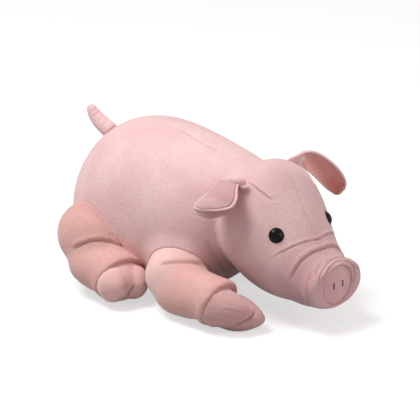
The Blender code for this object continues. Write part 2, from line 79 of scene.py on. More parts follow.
def sight(pixel):
    """The direction in which the camera sees a pixel of the photograph."""
    turn = camera.matrix_world.to_3x3()
    ray = Vector((pixel[0] - IMAGE_PIXELS / 2.0, IMAGE_PIXELS / 2.0 - pixel[1], -PIXELS_PER_RADIAN))
    return (turn @ ray).normalized()


def seen_point(surface, pixel):
    """The point of a surface that a pixel of the photograph shows."""
    return surface.ray_cast(camera.location, sight(pixel))[0]


def seen_pixels(values):
    """The pixels of the photograph at which the camera sees a row of points."""
    turn = np.array(camera.matrix_world.to_3x3())
    local = (values - np.array(camera.location)) @ turn
    scale = PIXELS_PER_RADIAN / -local[:, 2]
    return IMAGE_PIXELS / 2.0 + local[:, 0] * scale, IMAGE_PIXELS / 2.0 - local[:, 1] * scale


def seen_aside(aside, pixel):
    """The point that a pixel of the photograph shows at a distance from the pig's middle plane."""
    ray = sight(pixel)
    return camera.location + ray * ((aside - camera.location.x) / ray.x)


# Trunk and head
# One skin of pale short pile plush, sewn from panels and stuffed with loose fibre, so that trunk
# and head join in a soft neck. The head is a ball with the face drawn out of it, and the muzzle
# ends in a thick lip of fabric gathered round the snout disc.
FORWARD = Vector((0.0, -1.0, 0.0))
UP = Vector((0.0, 0.0, 1.0))
TRUNK_LENGTH = 0.242
TRUNK_WIDTH = 0.160
TRUNK_HEIGHT = 0.176
RUMP_PLACE = 0.171
BELLY_FLATNESS = 2.25
# Along the length, half width, underside, back
TRUNK_SHARES = (
    (0.000, 0.10, 0.34, 0.42),
    (0.012, 0.27, 0.26, 0.50),
    (0.055, 0.54, 0.13, 0.67),
    (0.14, 0.80, 0.04, 0.850),
    (0.27, 0.96, 0.00, 0.968),
    (0.43, 1.01, 0.00, 1.002),
    (0.59, 0.98, 0.00, 0.965),
    (0.73, 0.93, 0.02, 0.918),
    (0.84, 0.82, 0.11, 0.880),
    (0.925, 0.64, 0.30, 0.850),
    (0.985, 0.32, 0.42, 0.76),
)
HEAD_RADIUS = 0.061
HEAD_CENTRE = Vector((0.0, -0.075, 0.094))
HEAD_TURN = math.radians(-6.0)
HEAD_REACH = 0.094
NAPE_STEP = math.radians(20.0)
# Along the reach, crown, throat and half width, in head radii, then how far the brow is drawn in
FACE_SHARES = (
    (-0.02, 1.03, -1.10, 1.00, -0.02),
    (0.12, 1.02, -1.20, 1.00, -0.02),
    (0.29, 0.84, -1.24, 0.98, 0.04),
    (0.46, 0.40, -1.24, 0.88, 0.13),
    (0.61, 0.07, -1.20, 0.77, 0.19),
)
MUZZLE_DROP = 0.0475
MUZZLE_HALF_HEIGHT = 0.0247
MUZZLE_HALF_WIDTH = 0.0392
# Along the reach, half height and half width, in muzzle sizes, then how far the top is drawn in
MUZZLE_SHARES = (
    (0.76, 1.13, 1.07, 0.14),
    (0.84, 1.02, 1.01, 0.07),
    (0.92, 1.04, 1.07, 0.00),
    (0.985, 1.00, 1.00, 0.00),
    (1.015, 0.92, 0.84, 0.00),
    (0.995, 0.83, 0.60, 0.00),
    (0.955, 0.80, 0.505, 0.00),
)
RING_SIDES = 24
POLE_RING_SHARE = 0.6
SKIN_VOXEL = 0.0024
STUFFING_PRESSURE = 4.0
# In widths of a crease: how far it reaches, how far aside its fold is banked up, and how wide that fold is
CREASE_REACH = 8.0
BANK_ASIDE = 2.2
BANK_WIDTH = 1.8

head_frame = Matrix.Translation(HEAD_CENTRE) @ Matrix.Rotation(HEAD_TURN, 4, "Z")
head_mirror = head_frame @ Matrix.Diagonal((-1.0, 1.0, 1.0, 1.0)) @ head_frame.inverted()


def add_piece(name, bm):
    """Turn a bmesh into a smooth shaded object of the scene."""
    mesh = bpy.data.meshes.new(name)
    bm.to_mesh(mesh)
    bm.free()
    mesh.shade_smooth()
    item = bpy.data.objects.new(name, mesh)
    bpy.context.scene.collection.objects.link(item)
    return item


def bake_modifiers(item):
    """Replace an object's mesh by what its modifiers make of it."""
    graph = bpy.context.evaluated_depsgraph_get()
    mesh = bpy.data.meshes.new_from_object(item.evaluated_get(graph))
    item.modifiers.clear()
    item.data = mesh
    mesh.shade_smooth()


def subdivide(item, levels):
    """Round a piece by splitting its faces."""
    rounding = item.modifiers.new("Rounding", "SUBSURF")
    rounding.levels = levels
    rounding.render_levels = levels
    bake_modifiers(item)


def ring(bm, centre, direction, half_width, half_height, flatness=2.0, pinch=0.0):
    """Add one closed ring of a loft, square to its direction, a little wide because rounding draws it in."""
    made = bmesh.ops.create_circle(bm, segments=RING_SIDES, radius=1.0)["verts"]
    across = direction.cross(UP).normalized()
    upward = across.cross(direction).normalized()
    swell = 3.0 / (2.0 + math.cos(2.0 * math.pi / RING_SIDES))
    for vert in made:
        power = 2.0 / flatness if vert.co.y < 0.0 else 1.0
        wide = math.copysign(abs(vert.co.x) ** power, vert.co.x) * half_width * swell
        wide *= 1.0 - pinch * max(vert.co.y, 0.0)
        high = math.copysign(abs(vert.co.y) ** power, vert.co.y) * half_height * swell
        vert.co = centre + across * wide + upward * high
    return list({edge for vert in made for edge in vert.link_edges})


def loft(name, rings):
    """Bridge rings into a closed form and round it."""
    bm = bmesh.new()
    loops = [ring(bm, *values) for values in rings]
    for near, far in zip(loops, loops[1:]):
        bmesh.ops.bridge_loops(bm, edges=near + far)
    bmesh.ops.holes_fill(bm, edges=loops[0] + loops[-1], sides=0)
    bmesh.ops.recalc_face_normals(bm, faces=bm.faces)
    item = add_piece(name, bm)
    subdivide(item, 2)
    return item


def ball_back(centre, direction, radius, step, count):
    """Rings round the back of a ball, from its pole towards its waist."""
    rings = []
    for index in range(count):
        angle = step * (index + POLE_RING_SHARE)
        half = radius * math.sin(angle)
        rings.append((centre - direction * (radius * math.cos(angle)), direction, half, half))
    return rings


def merge(name, forms, voxel):
    """Sew overlapping closed forms into one skin of even small faces."""
    bm = bmesh.new()
    for form in forms:
        bm.from_mesh(form.data)
        bpy.data.objects.remove(form, do_unlink=True)
    item = add_piece(name, bm)
    skin = item.modifiers.new("Skin", "REMESH")
    skin.mode = "VOXEL"
    skin.voxel_size = voxel
    bake_modifiers(item)
    return item


def places(item):
    """The points of a skin, one to a row."""
    values = np.empty(len(item.data.vertices) * 3)
    item.data.vertices.foreach_get("co", values)
    return values.reshape(-1, 3)


def normals(item):
    """The directions in which a skin faces at its points."""
    values = np.empty(len(item.data.vertices) * 3, dtype=np.float32)
    item.data.vertices.foreach_get("normal", values)
    return values.reshape(-1, 3).astype(float)


def put(item, values):
    """Move the points of a skin to new places."""
    item.data.vertices.foreach_set("co", values.reshape(-1))
    item.data.update()


def distances(item, centre):
    """How far the points of a skin lie from a centre."""
    return np.linalg.norm(places(item) - np.array(centre), axis=1)


def mark(item, name, values):
    """Keep a value at each point of a skin, which its plush reads as a colour's share."""
    attribute = item.data.attributes.new(name, "FLOAT", "POINT")
    attribute.data.foreach_set("value", np.broadcast_to(values, len(item.data.vertices)).astype(np.float32))


def cover(item, material):
    """Give a piece one material in place of what it had."""
    item.data.materials.clear()
    item.data.materials.append(material)


def relax(item, rounds, weight=None):
    """Even out a skin, where weight is 1, by moving each point towards its neighbours' middle."""
    edges = np.empty(len(item.data.edges) * 2, dtype=np.int32)
    item.data.edges.foreach_get("vertices", edges)
    edges = edges.reshape(-1, 2)
    values = places(item)
    count = np.bincount(edges.reshape(-1), minlength=len(values))[:, None]
    strength = 0.5 if weight is None else 0.5 * weight[:, None]
    for _ in range(rounds):
        total = np.zeros_like(values)
        for axis in range(3):
            total[:, axis] = (np.bincount(edges[:, 0], values[edges[:, 1], axis], len(values))
                              + np.bincount(edges[:, 1], values[edges[:, 0], axis], len(values)))
        values += (total / count - values) * strength
    put(item, values)


def smooth_step(value, low, high):
    """Run smoothly from 0 at the low value to 1 at the high one."""
    share = np.clip((value - low) / (high - low), 0.0, 1.0)
    return share * share * (3.0 - 2.0 * share)


def stuff(item, room, most, frames):
    """Draw the skin in by room, then swell it with its filling as cloth, by at most a set distance."""
    drawn = places(item) - normals(item) * room
    put(item, drawn)
    cloth = item.modifiers.new("Stuffing", "CLOTH")
    cloth.settings.quality = 4
    cloth.settings.use_pressure = True
    cloth.settings.uniform_pressure_force = STUFFING_PRESSURE
    cloth.settings.effector_weights.gravity = 0.0
    cloth.point_cache.frame_start = 1
    cloth.point_cache.frame_end = frames
    for number in range(1, frames + 1):
        bpy.context.scene.frame_set(number)
    bake_modifiers(item)
    bpy.context.scene.frame_set(1)
    moved = places(item) - drawn
    length = np.linalg.norm(moved, axis=1, keepdims=True)
    put(item, drawn + moved * np.minimum(1.0, most / np.maximum(length, 1e-9)))


def flatten_below(item):
    """Press what would sink below the floor flat on it."""
    values = places(item)
    values[:, 2] = np.maximum(values[:, 2], 0.0)
    put(item, values)


def surface_of(item):
    """A skin as it is now, for finding the points on it."""
    bm = bmesh.new()
    bm.from_mesh(item.data)
    tree = BVHTree.FromBMesh(bm)
    bm.free()
    return tree


def mirrored(points, surface):
    """The same line on the other side of the head."""
    return [surface.find_nearest(head_mirror @ point)[0] for point in points]


def beside(values, corners):
    """Each point's distance from a line, its place beside it, the line's direction and the share along it."""
    lengths = np.linalg.norm(np.diff(corners, axis=0), axis=1)
    travelled = np.concatenate(([0.0], np.cumsum(lengths)))
    best = np.full(len(values), np.inf)
    offset = np.zeros_like(values)
    tangent = np.zeros_like(values)
    along = np.zeros(len(values))
    for index, length in enumerate(lengths):
        direction = (corners[index + 1] - corners[index]) / length
        reach = np.clip((values - corners[index]) @ direction, 0.0, length)
        away = values - corners[index] - reach[:, None] * direction
        distance = np.linalg.norm(away, axis=1)
        nearer = distance < best
        best[nearer] = distance[nearer]
        offset[nearer] = away[nearer]
        tangent[nearer] = direction
        along[nearer] = (travelled[index] + reach[nearer]) / travelled[-1]
    return best, offset, tangent, along


def press(item, path, depth, width, bank=0.0, fade=0.18, painted_shade=1.0):
    """Press a crease into a skin along a line, with the fold of fabric banked up on its left side, and paint shade
    into the groove.
    """
    values = places(item)
    corners = np.array([tuple(point) for point in path])
    reach = CREASE_REACH * width
    near = np.all((values > corners.min(axis=0) - reach) & (values < corners.max(axis=0) + reach), axis=1)
    normal = normals(item)[near]
    distance, offset, tangent, along = beside(values[near], corners)
    side = np.einsum("ij,ij->i", np.cross(normal, tangent), offset)
    ends = smooth_step(along, 0.0, fade) * (1.0 - smooth_step(along, 1.0 - fade, 1.0)) if fade else 1.0
    groove = np.exp(-(distance / width) ** 2)
    fold = np.exp(-((side - BANK_ASIDE * width) / (BANK_WIDTH * width)) ** 2) * (distance < reach)
    values[near] += normal * ((fold * bank - groove * depth) * ends)[:, None]
    put(item, values)
    # Painted shade: the groove's share is kept as the fold attribute, which darkens the plush's colour.
    attribute = item.data.attributes.get("fold") or item.data.attributes.new("fold", "FLOAT", "POINT")
    painted_shades = np.zeros(len(values), dtype=np.float32)
    attribute.data.foreach_get("value", painted_shades)
    painted_shades[near] = np.maximum(painted_shades[near], groove * ends * painted_shade)
    attribute.data.foreach_set("value", painted_shades)


def track(surface, pixels):
    """The line on a surface that runs through pixels of the photograph."""
    return [point for point in (seen_point(surface, pixel) for pixel in pixels) if point]


def trunk_rings():
    """The rings of the trunk, from rump to neck."""
    rings = []
    for along, half_width, under, back in TRUNK_SHARES:
        low, high = under * TRUNK_HEIGHT, back * TRUNK_HEIGHT
        centre = Vector((0.0, RUMP_PLACE - along * TRUNK_LENGTH, (low + high) / 2.0))
        rings.append((centre, FORWARD, half_width * TRUNK_WIDTH / 2.0, (high - low) / 2.0, BELLY_FLATNESS))
    return rings


def head_rings():
    """The rings of the head, from nape to muzzle and in again behind the lip."""
    rings = ball_back(Vector(), FORWARD, HEAD_RADIUS, NAPE_STEP, 4)
    for reach, crown, throat, half_width, pinch in FACE_SHARES:
        centre = FORWARD * (reach * HEAD_REACH) + UP * ((crown + throat) / 2.0 * HEAD_RADIUS)
        rings.append((centre, FORWARD, half_width * HEAD_RADIUS, (crown - throat) / 2.0 * HEAD_RADIUS, 2.0, pinch))
    for reach, half_height, half_width, pinch in MUZZLE_SHARES:
        centre = FORWARD * (reach * HEAD_REACH) - UP * MUZZLE_DROP
        rings.append((centre, FORWARD, half_width * MUZZLE_HALF_WIDTH, half_height * MUZZLE_HALF_HEIGHT, 2.0,
                      pinch))
    return rings


trunk_form = loft("trunk_form", trunk_rings())
head_form = loft("head_form", head_rings())
head_form.data.transform(head_frame)
body = merge("trunk_and_head", (trunk_form, head_form), SKIN_VOXEL)

# The neck is drawn smooth along the back and stays creased behind the cheeks
NECK_MIDDLE = Vector((0.0, -0.030, 0.150))
NECK_SOFT_RADIUS = 0.045
NECK_ROUNDS = 40
SKIN_ROUNDS = 3
# Room drawn in, most that the filling swells it, and frames of the cloth
BODY_STUFFING = (0.0010, 0.0022, 20)
neck_distance = distances(body, NECK_MIDDLE)
relax(body, SKIN_ROUNDS)
relax(body, NECK_ROUNDS, 1.0 - smooth_step(neck_distance, NECK_SOFT_RADIUS * 0.5, NECK_SOFT_RADIUS))
stuff(body, *BODY_STUFFING)
subdivide(body, 1)
flatten_below(body)

# The face gets smaller faces than the trunk, for its fine creases
FINE_START = -0.058
FINE_ROUNDING = 0.8
fine = bmesh.new()
fine.from_mesh(body.data)
face_edges = [edge for edge in fine.edges if max(vert.co.y for vert in edge.verts) < FINE_START]
bmesh.ops.subdivide_edges(fine, edges=face_edges, cuts=1, use_grid_fill=True, smooth=FINE_ROUNDING)
fine.to_mesh(body.data)
fine.free()
body.data.shade_smooth()

# Creases of the face, as rows of pixels on its near side up to the middle seam
BRIDGE_CREASE = ((268, 262), (273, 257.5), (279, 253.5), (292, 247), (305, 242), (320, 239))
MUZZLE_CREASE = ((291.5, 302), (290, 289), (291, 279), (296, 269), (302, 260.5), (312, 253), (323, 249))
SHORT_CREASE = ((316.5, 284), (316.2, 276), (317.5, 268), (321, 262))
LIP_CREASES = (
    ((319, 297), (318.1, 288), (319.7, 277.5), (324, 268.4), (332, 260), (338, 257)),
    ((324.5, 299), (322.3, 288), (324, 277.5), (328.5, 269), (335.5, 262.5)),
    ((308, 299), (306.5, 289), (308, 279), (312, 270)),
)
HEAD_SEAM = ((282, 168), (288, 175), (295, 185), (300, 198), (305, 212), (312, 226), (317, 236), (322, 246))
EAR_DART = ((247, 182), (259, 191), (272, 201))
BACK_SEAM = ((175, 127), (187, 134), (200, 142), (220, 153))
CHEEK_FOLD = ((206, 236), (210, 249), (218, 262), (228, 273))
# Each crease, its depth, width and banked fold, how deep its painted shade is, and whether it runs on
# over the muzzle into the same crease on the far side
FACE_CREASES = (
    (BRIDGE_CREASE, 0.0009, 0.0009, 0.0005, 1.0, True),
    (MUZZLE_CREASE, 0.0013, 0.0015, 0.0009, 1.0, True),
    (SHORT_CREASE, 0.0006, 0.0009, 0.0003, 1.0, False),
    (LIP_CREASES[0], 0.0011, 0.0010, 0.0008, 1.0, True),
    (LIP_CREASES[1], 0.0009, 0.0009, 0.0006, 1.0, True),
    (LIP_CREASES[2], 0.0005, 0.0014, 0.0003, 1.0, False),
    (CHEEK_FOLD, 0.0008, 0.0026, 0.0005, 0.4, False),
)
# Depth, width and banked fold of the seams and the dart
HEAD_SEAM_SIZES = (0.0006, 0.0007)
BACK_SEAM_SIZES = (0.0004, 0.0012)
EAR_DART_SIZES = (0.0010, 0.0010, 0.0010)
# How far painted shade darkens the seams and the dart
SEAM_PAINTED_SHADE = 0.5

body_surface = surface_of(body)
for pixels, depth, width, bank, painted_shade, meets in FACE_CREASES:
    near = track(body_surface, pixels)
    far = mirrored(near, body_surface)
    if meets:
        press(body, near + far[::-1], depth, width, bank, painted_shade=painted_shade)
    else:
        press(body, near, depth, width, bank, painted_shade=painted_shade)
        press(body, far, depth, width, -bank, painted_shade=painted_shade)
press(body, track(body_surface, HEAD_SEAM), *HEAD_SEAM_SIZES, painted_shade=SEAM_PAINTED_SHADE)
press(body, track(body_surface, BACK_SEAM), *BACK_SEAM_SIZES, painted_shade=SEAM_PAINTED_SHADE)
dart = track(body_surface, EAR_DART)
for line in (dart, mirrored(dart, body_surface)):
    press(body, line, *EAR_DART_SIZES, painted_shade=SEAM_PAINTED_SHADE)

# Painted shade darkens the muzzle to a deeper mauve towards the lip, and darkens the head below the cheeks;
# the head's plush is also a little deeper in tone than the trunk's
CHEEK_PAINTED_SHADE = 0.28
HEAD_TONE = 0.20
in_head = (places(body) - np.array(HEAD_CENTRE)) @ np.array(head_frame.to_3x3())
ahead, above = -in_head[:, 1] / HEAD_REACH, in_head[:, 2] / HEAD_RADIUS
muzzle_painted_shade = smooth_step(ahead, 0.25, 0.78) * (1.0 - 0.5 * smooth_step(above, -0.65, -0.10))
muzzle_painted_shade *= 1.0 - 0.45 * smooth_step(ahead, 0.90, 0.98)
cheek_painted_shade = CHEEK_PAINTED_SHADE * smooth_step(ahead, -0.55, -0.25) * (1.0 - smooth_step(above, -0.70, 0.10))
head_tone = HEAD_TONE * smooth_step(ahead, -0.55, 0.10)
mark(body, "tone_and_painted_light", np.maximum(muzzle_painted_shade, cheek_painted_shade + head_tone))

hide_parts("trunk", "head", "trunk_filling", "head_filling")
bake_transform(body)


def new_material(name):
    """A new material, the tree of its nodes and its shader."""
    material = bpy.data.materials.new(name)
    material.use_nodes = True
    return material, material.node_tree, material.node_tree.nodes["Principled BSDF"]


def pattern(tree, kind, scale, detail=2.0):
    """A texture on the piece's own coordinates."""
    place = tree.nodes.get("Texture Coordinate") or tree.nodes.new("ShaderNodeTexCoord")
    texture = tree.nodes.new(kind)
    texture.inputs["Scale"].default_value = scale
    texture.inputs["Detail"].default_value = detail
    tree.links.new(place.outputs["Object"], texture.inputs["Vector"])
    return texture


def spread(tree, value, low=0.0, high=1.0, bottom=0.0, top=1.0):
    """Run from bottom to top while a value runs from low to high."""
    span = tree.nodes.new("ShaderNodeMapRange")
    for socket, number in (("From Min", low), ("From Max", high), ("To Min", bottom), ("To Max", top)):
        span.inputs[socket].default_value = number
    tree.links.new(value, span.inputs["Value"])
    return span.outputs["Result"]


def mix(tree, first, second, factor):
    """Blend two colours, each a fixed one or another node's, by a factor."""
    blend = tree.nodes.new("ShaderNodeMix")
    blend.data_type = "RGBA"
    for socket, value in ((blend.inputs["A"], first), (blend.inputs["B"], second)):
        if isinstance(value, tuple):
            socket.default_value = (*value, 1.0)
        else:
            tree.links.new(value, socket)
    tree.links.new(factor, blend.inputs["Factor"])
    return blend.outputs["Result"]


def kept(tree, name):
    """The value that is kept at each point of the skin."""
    attribute = tree.nodes.new("ShaderNodeAttribute")
    attribute.attribute_name = name
    return attribute.outputs["Fac"]


def raised(tree, height, strength, distance, under=None):
    """A surface that rises with a texture, over another such surface where one is given."""
    bump = tree.nodes.new("ShaderNodeBump")
    bump.inputs["Strength"].default_value = strength
    bump.inputs["Distance"].default_value = distance
    tree.links.new(height, bump.inputs["Height"])
    if under is not None:
        tree.links.new(under, bump.inputs["Normal"])
    return bump.outputs["Normal"]


def plush(name, colour, painted_shade_colour, tone_and_painted_light_colour=None):
    """Short pile plush: mottled where the pile lies, darkened in the folds with painted shade, with a soft sheen at
    its edges.
    """
    material, tree, shader = new_material(name)
    for socket, value in (("Roughness", 0.9), ("Specular IOR Level", 0.15), ("Sheen Weight", 0.50),
                          ("Sheen Roughness", 0.40), ("Sheen Tint", (1.0, 0.93, 0.92, 1.0))):
        shader.inputs[socket].default_value = value
    broad, fine, fibre = (pattern(tree, "ShaderNodeTexNoise", scale, detail).outputs["Fac"]
                          for scale, detail in ((26.0, 2.0), (330.0, 4.0), (900.0, 3.0)))
    shade = tuple(channel * share for channel, share in zip(colour, (0.90, 0.80, 0.84)))
    tone = mix(tree, colour, shade, spread(tree, broad, 0.38, 0.70, top=0.8))
    tone = mix(tree, tone, shade, spread(tree, fine, 0.42, 0.70, top=0.75))
    # A second colour by a kept share: on some pieces the plush's own tone, on others painted light and painted
    # shade.
    if tone_and_painted_light_colour:
        tone = mix(tree, tone, tone_and_painted_light_colour, kept(tree, "tone_and_painted_light"))
    # Painted shade: creases, seams and hollows darken towards the deep colour by the kept fold share.
    tone = mix(tree, tone, painted_shade_colour, spread(tree, kept(tree, "fold"), 0.05, 1.0, top=0.75))
    tree.links.new(tone, shader.inputs["Base Color"])
    pile = raised(tree, fibre, 0.40, 0.0008)
    tree.links.new(raised(tree, fine, 0.35, 0.0015, pile), shader.inputs["Normal"])
    return material


# The plush's colour, then its painted shade in folds, then the deeper mauve that paints shade on the muzzle and
# cheeks and also deepens the head's own tone
body_plush = plush("pale_pink_plush", (0.87, 0.63, 0.60), (0.50, 0.24, 0.21), (0.51, 0.305, 0.315))
cover(body, body_plush)

# Legs
# Stuffed tubes of a slightly deeper pink plush, flexed at elbow and knee where they touch the
# floor. Each ends in a rolled welt, the turned cuff that the hoof is sewn into.
RIGHT, LEFT = -1, 1
SIDES = ((RIGHT, "right"), (LEFT, "left"))
LEG_STEP = math.radians(30.0)
LEG_VOXEL = 0.0022
WELT = 0.0021
# Ahead of the cuff, then how far the welt stands out, in welt sizes
WELT_SHARES = ((-0.0090, -0.3), (-0.0060, 0.0), (-0.0030, 0.9), (0.0004, 1.0), (0.0026, 0.4), (0.0030, -0.9),
               (-0.0030, -2.4))
# Aside, along and above the floor, then half sizes across, along and upright
FRONT_UPPER = ((0.070, -0.010, 0.038), (0.034, 0.033, 0.029))
REAR_UPPER = ((0.069, 0.102, 0.057), (0.039, 0.041, 0.038))
# Aside, along and above the floor, then half width and half height
FRONT_LOWER = ((0.0775, -0.022, 0.0285, 0.0290, 0.0285), (0.0815, -0.050, 0.0275, 0.0277, 0.0270),
               (0.0840, -0.076, 0.0265, 0.0256, 0.0262))
REAR_LOWER = ((0.0785, 0.092, 0.0355, 0.0352, 0.0290), (0.0865, 0.066, 0.0285, 0.0308, 0.0272),
              (0.0915, 0.048, 0.0265, 0.0290, 0.0260))
FRONT_CUFF_SLOPE = -0.36
REAR_CUFF_SLOPE = -0.34
# Room drawn in, most that the filling swells a leg, and frames of the cloth
LEG_STUFFING = (0.0006, 0.0016, 12)
LEG_ROUNDS = 28
# From the cuff, where evening out a leg, setting a thigh in and a front leg's paler top begin and are full
CUFF_KEPT = (0.020, 0.034)
CUFF_SPARED = (0.027, 0.038)
SHOULDER_FADE = (0.040, 0.085)
SHOULDER_PALENESS = 0.8
# How far from body to leg the fabric bridges the corner
LEG_JOINS = {"front": 0.016, "rear": 0.004}
# Folds and seams of the right legs, as rows of pixels
ELBOW_FOLD = ((158, 266), (164, 264), (173, 263), (186, 262.6), (197.5, 264), (204, 267))
KNEE_FOLD = ((72, 251), (77, 247), (84, 243.5), (92, 241), (102, 240.5), (113, 243), (120, 247))
GROIN_CREASE = ((110, 240), (118, 244.5), (125, 248), (133, 252.5), (141, 257))
THIGH_SEAM = ((50, 182), (72.6, 201.5), (85, 211), (96, 220.5), (105, 230.5), (113, 240), (125, 247), (140, 255),
              (160, 262))
# Each fold's depth, width and banked fold of fabric, then how deep its painted shade is; the groin's is a painted
# contact shadow
LEG_FOLDS = {
    "front": ((ELBOW_FOLD, 0.0012, 0.0020, 0.0010, 0.6),),
    "rear": ((KNEE_FOLD, 0.0014, 0.0017, 0.0011, 0.7), (GROIN_CREASE, 0.0016, 0.0012, 0.0, 1.0)),
}
FLANK_CREASE = (0.0012, 0.0012)
# Pixel across the photograph, then the distance below the seam in which the thigh rises to its full height
THIGH_RISES = ((74, 0.004), (86, 0.009), (105, 0.014))
# Above the flank's skin: where a thigh is set in, the least that it then stands out, and how deep it ends
TUCK_SPAN = (-0.010, 0.030)
TUCK_LEAST = 0.0005
TUCK_DEPTH = -0.0022
# Distances from the seam, and pixels across the photograph, over which the groin is evened out
GROIN_SOFTNESS = (0.004, 0.012)
GROIN_SPAN = (104.0, 116.0)
GROIN_ROUNDS = 8


def stuffed_ball(name, centre, halves, ahead=FORWARD, point=0.0):
    """One stuffed form, a ball drawn out along its length and drawn to a point ahead."""
    bm = bmesh.new()
    bmesh.ops.create_uvsphere(bm, u_segments=40, v_segments=24, radius=1.0)
    across = ahead.cross(UP).normalized()
    upright = across.cross(ahead)
    for vert in bm.verts:
        drawn = 1.0 - point * max(vert.co.y, 0.0) ** 2
        vert.co = (centre + across * (vert.co.x * halves[0] * drawn) + ahead * (vert.co.y * halves[1])
                   + upright * (vert.co.z * halves[2] * drawn))
    bmesh.ops.recalc_face_normals(bm, faces=bm.faces)
    return add_piece(name, bm)


def lower_leg_rings(side, stations, slope):
    """The rings of a lower leg, from elbow or knee to the welt and in again under it."""
    points = [Vector((side * aside, along, rise)) for aside, along, rise, _, _ in stations]
    first, last = (points[1] - points[0]).normalized(), (points[2] - points[1]).normalized()
    last = Vector((last.x, last.y, slope)).normalized()
    rings = ball_back(points[0], first, min(stations[0][3:]) + 0.002, LEG_STEP, 3)
    rings.append((points[0], first, stations[0][3], stations[0][4]))
    rings.append((points[1], (first + last).normalized(), stations[1][3], stations[1][4]))
    half_width, half_height = stations[2][3:]
    for ahead, share in WELT_SHARES:
        rings.append((points[2] + last * ahead, last, half_width + share * WELT, half_height + share * WELT))
    return rings


def signed_distance(surface, point):
    """How far a point lies outside a skin, or below zero inside it."""
    place, normal, _, distance = surface.find_nearest(point)
    return math.copysign(distance, (point - place).dot(normal))


def ease_join(item, other, reach):
    """Raise a skin where it meets another, as fabric bridges the corner between two stuffed forms."""
    values, normal = places(item), normals(item)
    corners = np.array([tuple(vert.co) for vert in other.data.vertices])
    low, high = corners.min(axis=0) - reach, corners.max(axis=0) + reach
    surface = surface_of(other)
    for index in np.flatnonzero(np.all((values > low) & (values < high), axis=1)):
        room = reach - abs(signed_distance(surface, Vector(values[index])))
        if room > 0.0:
            values[index] += normal[index] * (room * room / (4.0 * reach))
    put(item, values)


def tuck(item, surface, side, seam, rises, loose):
    """Set a thigh flush with the flank along its seam, and take what lies above the seam inside the skin."""
    values = places(item)
    for reach in (1.0, 0.0, 0.0, 0.0):
        across, down = seen_pixels(values * np.array((-side, 1.0, 1.0)))
        below = (down - np.interp(across, *zip(*seam))) * VIEW_DISTANCE / PIXELS_PER_RADIAN
        rise = np.interp(across, *zip(*rises))
        for index in np.flatnonzero(below < np.maximum(reach * rise, TUCK_LEAST)):
            place, normal, _, _ = surface.find_nearest(Vector(values[index]))
            height = (Vector(values[index]) - place).dot(normal)
            if TUCK_SPAN[0] < height < TUCK_SPAN[1]:
                share = float(smooth_step(below[index], 0.0, rise[index]))
                wanted = max(height, 0.0) * share + TUCK_LEAST if below[index] > 0.0 else TUCK_DEPTH
                if height > wanted:
                    values[index] += np.array(normal) * ((wanted - height) * loose[index])
    put(item, values)
    near_groin = (1.0 - smooth_step(np.abs(below), *GROIN_SOFTNESS)) * smooth_step(across, *GROIN_SPAN)
    relax(item, GROIN_ROUNDS, near_groin * loose)


def to_left(line, surface):
    """The same line on the left one of a pair."""
    return [surface.find_nearest(Vector((-point.x, point.y, point.z)))[0] for point in line]


# Dusty pink plush, darkened with painted shade in its folds, and as pale as the body at the front legs' tops
leg_plush = plush("dusty_pink_plush", (0.76, 0.47, 0.42), (0.40, 0.17, 0.15), (0.87, 0.62, 0.58))
legs = []
for side, side_name in SIDES:
    for place_name, upper, lower, slope in (("front", FRONT_UPPER, FRONT_LOWER, FRONT_CUFF_SLOPE),
                                            ("rear", REAR_UPPER, REAR_LOWER, REAR_CUFF_SLOPE)):
        name = f"{side_name}_{place_name}"
        centre = Vector((side * upper[0][0], upper[0][1], upper[0][2]))
        thigh = stuffed_ball(f"{name}_upper_form", centre, upper[1])
        shin = loft(f"{name}_lower_form", lower_leg_rings(side, lower, slope))
        leg = merge(f"{name}_leg_skin", (thigh, shin), LEG_VOXEL)
        cuff = (side * lower[2][0], lower[2][1], lower[2][2])
        relax(leg, LEG_ROUNDS, smooth_step(distances(leg, cuff), *CUFF_KEPT))
        relax(leg, 1)
        stuff(leg, *LEG_STUFFING)
        subdivide(leg, 1)
        if place_name == "rear":
            loose = smooth_step(distances(leg, cuff), *CUFF_SPARED)
            tuck(leg, body_surface, side, THIGH_SEAM, THIGH_RISES, loose)
        else:
            mark(leg, "tone_and_painted_light", SHOULDER_PALENESS * smooth_step(distances(leg, cuff), *SHOULDER_FADE))
        ease_join(leg, body, LEG_JOINS[place_name])
        legs.append((leg, side, place_name))
        flatten_below(leg)
        cover(leg, leg_plush)
        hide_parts(f"{name}_leg")

# The folds are found on the right legs, and the left legs get the same ones
for leg, side, place_name in legs:
    surface = surface_of(leg)
    right_leg = bpy.data.objects[f"right_{place_name}_leg_skin"]
    for pixels, depth, width, bank, painted_shade in LEG_FOLDS[place_name]:
        line = track(surface_of(right_leg), pixels)
        if side == LEFT:
            line = to_left(line, surface)
        press(leg, line, depth, width, bank * (-side), painted_shade=painted_shade)
        if pixels is GROIN_CREASE:
            line = [body_surface.find_nearest(point)[0] for point in line]
            press(body, line, *FLANK_CREASE, painted_shade=painted_shade)
    ease_join(body, leg, LEG_JOINS[place_name])

for side, side_name in SIDES:
    for place_name, upper, lower in (("front", FRONT_UPPER, FRONT_LOWER), ("rear", REAR_UPPER, REAR_LOWER)):
        leg = bpy.data.objects[f"{side_name}_{place_name}_leg_skin"]
        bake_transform(leg)

# Hooves
# Each hoof is a cap of mauve pink plush with two stuffed toes and a cleft between them. It is
# sewn into the cuff under the welt.
HOOF_VOXEL = 0.0016
FRONT_HOOF_TURN = math.radians(24.0)
REAR_HOOF_TURN = math.radians(-2.0)
